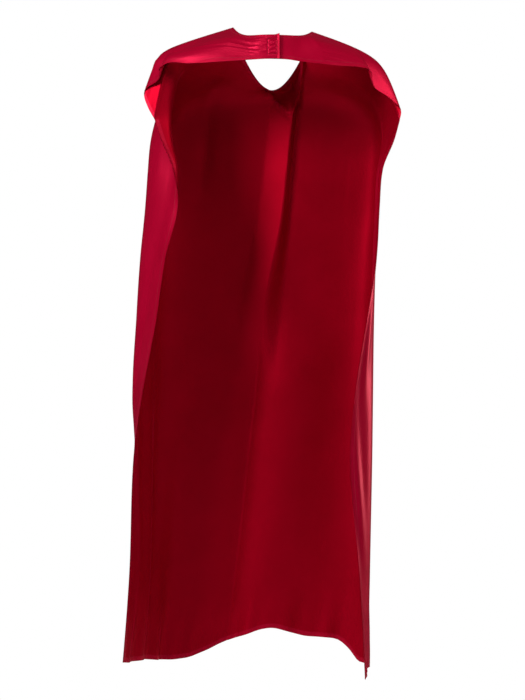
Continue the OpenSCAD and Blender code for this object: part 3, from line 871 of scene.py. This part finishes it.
def small_tubes(name, place, up, lean, reach_mm, height, radius, closes, finish_of, body):
    """Many small bent tubes standing on a patch: each follows half an oval that rises from
    its foot and comes back to the ground, all the way for a loop, part of it for a hook."""
    t = np.linspace(0, closes, 6)
    sides = 4
    turn = np.arange(sides) * 2 * math.pi / sides + math.pi / 4
    side_way = unit(np.cross(lean, up))
    bow_x, bow_z = reach_mm * (1 - np.cos(t)) / 2, height * np.sin(t)
    core = (place[:, None] + lean[:, None] * bow_x[None, :, None]
            + up[:, None] * bow_z[None, :, None])
    out_x, out_z = -np.cos(t), np.sin(t)
    outward = lean[:, None] * out_x[None, :, None] + up[:, None] * out_z[None, :, None]
    c, s = np.cos(turn)[None, None, :, None], np.sin(turn)[None, None, :, None]
    ring = core[:, :, None] + radius * (outward[:, :, None] * c + side_way[:, None, None] * s)
    faces = tube_faces(len(place), len(t), sides, [[3, 2, 1, 0]], [[0, 1, 2, 3]])
    uv = np.zeros((len(place) * len(t) * sides, 2))
    piece = make_object(name, ring.reshape(-1, 3), faces, [finish_of], uv=uv)
    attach(piece, body)
    return piece


# Hook tape under the tab and loop tape on the lower strap, each a ground with its pile
for name, side, far, near, nylon, body, node, slot in (
        ("hook_tape_ground", -1, -GROUND_NEAR, -GROUND_FAR, hook_nylon, "tab", "hook_patch",
         "hook_tape"),
        ("loop_tape_ground", 1, GROUND_FAR, GROUND_NEAR, loop_nylon, "under_strap",
         "loop_patch", "loop_tape")):
    p, n = patch_grid(side)
    ground = grid_layer(name, p, n, far, near, [nylon])
    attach(ground, body)
    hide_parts(node)

rng = np.random.default_rng(7)
foot, out = patch_grid(-1, 1.4, 14, 24)
foot, out = foot.reshape(-1, 3), -out.reshape(-1, 3)
lean = unit(np.cross(out, np.array([1.0, 0, 0])))
small_tubes("hook_pile", foot + out * PILE_FOOT, out, lean, 0.8, 0.55, 0.11, 2.5, hook_nylon,
            "tab")
foot, out = patch_grid(1, BOX_INSET, 15, 26)
foot, out = foot.reshape(-1, 3), out.reshape(-1, 3)
sway = rng.uniform(0, 2 * math.pi, len(foot))[:, None]
east = unit(np.cross(out, np.array([0, 0, 1.0])))
lean = east * np.cos(sway) + np.cross(out, east) * np.sin(sway)
small_tubes("loop_pile", foot + out * PILE_FOOT, out, lean, 1.0, 0.5, 0.09, math.pi,
            loop_nylon, "under_strap")


def box_stitch(name, side, lift, body, stands_for):
    """Stitches round a patch, just inside its edges."""
    p, n = patch_grid(side, BOX_INSET)
    line = np.concatenate([p[0], p[1:, -1], p[-1, -2::-1], p[-2::-1, 0]])
    out = np.concatenate([n[0], n[1:, -1], n[-1, -2::-1], n[-2::-1, 0]])
    return stitch_row(name, line, out, lift, rides(body), [stands_for], BOX_PITCH)


box_stitch("tab_box_stitches", -1, HALF, "tab", "tab_box_stitch")
box_stitch("loop_box_stitches", 1, -HALF - 0.5, "under_strap", "loop_box_stitch")

# ---- Stage ----
FLOOR_Z = -1450.0
STUDIO_HALF = 9000.0
# The floor meets the backdrop, which turns up along a quarter circle of BEND_R far behind
FLOOR_BACK = 1200.0
BEND_Y = 6000.0
BEND_R = 1500.0
STUDIO_TOP = 8500.0
BACKDROP_LIGHT = 0.02
WORLD_LIGHT = 0.07


def white_to_the_eye(tree, as_light):
    """Emission strength that is full white where it is looked at and dimmer as a light, so
    that the white studio leaves no veil on the satin."""
    seen = add(tree, "ShaderNodeLightPath").outputs["Is Camera Ray"]
    return add(tree, "ShaderNodeMapRange", {"To Min": as_light, "To Max": 1.0},
               {"Value": seen}).outputs["Result"]


def studio_sheet(name, y, z, as_light):
    """Sheet 18 m wide through the given profile from front to back."""
    x = np.linspace(-STUDIO_HALF, STUDIO_HALF, 5)[:, None]
    points = np.stack([x + 0 * y, y + 0 * x, z + 0 * x], -1)
    paper = bpy.data.materials.new(name + " paper")
    paper.use_nodes = True
    tree = paper.node_tree
    tree.nodes.clear()
    if as_light is None:
        white = add(tree, "ShaderNodeBsdfPrincipled",
                    {"Base Color": (0.85, 0.85, 0.85, 1), "Roughness": 0.9}).outputs["BSDF"]
    else:
        white = add(tree, "ShaderNodeEmission", (),
                    {"Strength": white_to_the_eye(tree, as_light)}).outputs["Emission"]
    add(tree, "ShaderNodeOutputMaterial", (), {"Surface": white})
    make_object(name, points.reshape(-1, 3), grid_faces(*points.shape[:2]), [paper])


bend = np.linspace(0, math.pi / 2, 13)
studio_sheet("studio_floor", np.array([-STUDIO_HALF, 0, FLOOR_BACK]), FLOOR_Z + np.zeros(3), None)
studio_sheet(
    "studio_backdrop",
    np.concatenate([[FLOOR_BACK], BEND_Y + BEND_R * np.sin(bend), [BEND_Y + BEND_R]]),
    np.concatenate([[FLOOR_Z], FLOOR_Z + BEND_R * (1 - np.cos(bend)), [STUDIO_TOP]]),
    BACKDROP_LIGHT)

world = bpy.data.worlds.new("studio")
world.use_nodes = True
surround = world.node_tree.nodes["Background"]
surround.inputs["Color"].default_value = (1, 1, 1, 1)
world.node_tree.links.new(white_to_the_eye(world.node_tree, WORLD_LIGHT),
                          surround.inputs["Strength"])
bpy.context.scene.world = world
bpy.context.scene.view_settings.view_transform = "Standard"


def soft_light(name, place, aim, size, watts, colour=(1, 1, 1)):
    """Square area light at a place, turned to face the aim point, all in metres."""
    data = bpy.data.lights.new(name, "AREA")
    data.shape = "SQUARE"
    data.size = size
    data.energy = watts
    data.color = colour
    light = bpy.data.objects.new(name, data)
    offset = np.array(place) - np.array(aim)
    yaw = math.atan2(offset[0], -offset[1])
    pitch = math.atan2(math.hypot(offset[0], offset[1]), offset[2])
    light.rotation_euler = (pitch, 0, yaw)
    light.location = place
    light.visible_camera = False
    bpy.context.scene.collection.objects.link(light)


soft_light("left_light", (-2.35, -2.25, 1.15), (-0.1, 0, -0.7), 1.0, 98)
soft_light("right_light", (2.4, -2.0, 1.0), (0, 0, -0.8), 1.0, 24)
soft_light("key_light", (-0.4, -1.7, 2.2), (0, 0, -0.4), 1.0, 14)
soft_light("rim_light", (2.3, 1.4, -0.4), (0.15, 0, -0.8), 1.2, 26, (1, 0.5, 0.62))
soft_light("shoulder_light", (1.0, -0.35, 0.3), (0.2, 0, -0.12), 0.25, 3.2, (1, 0.6, 0.7))
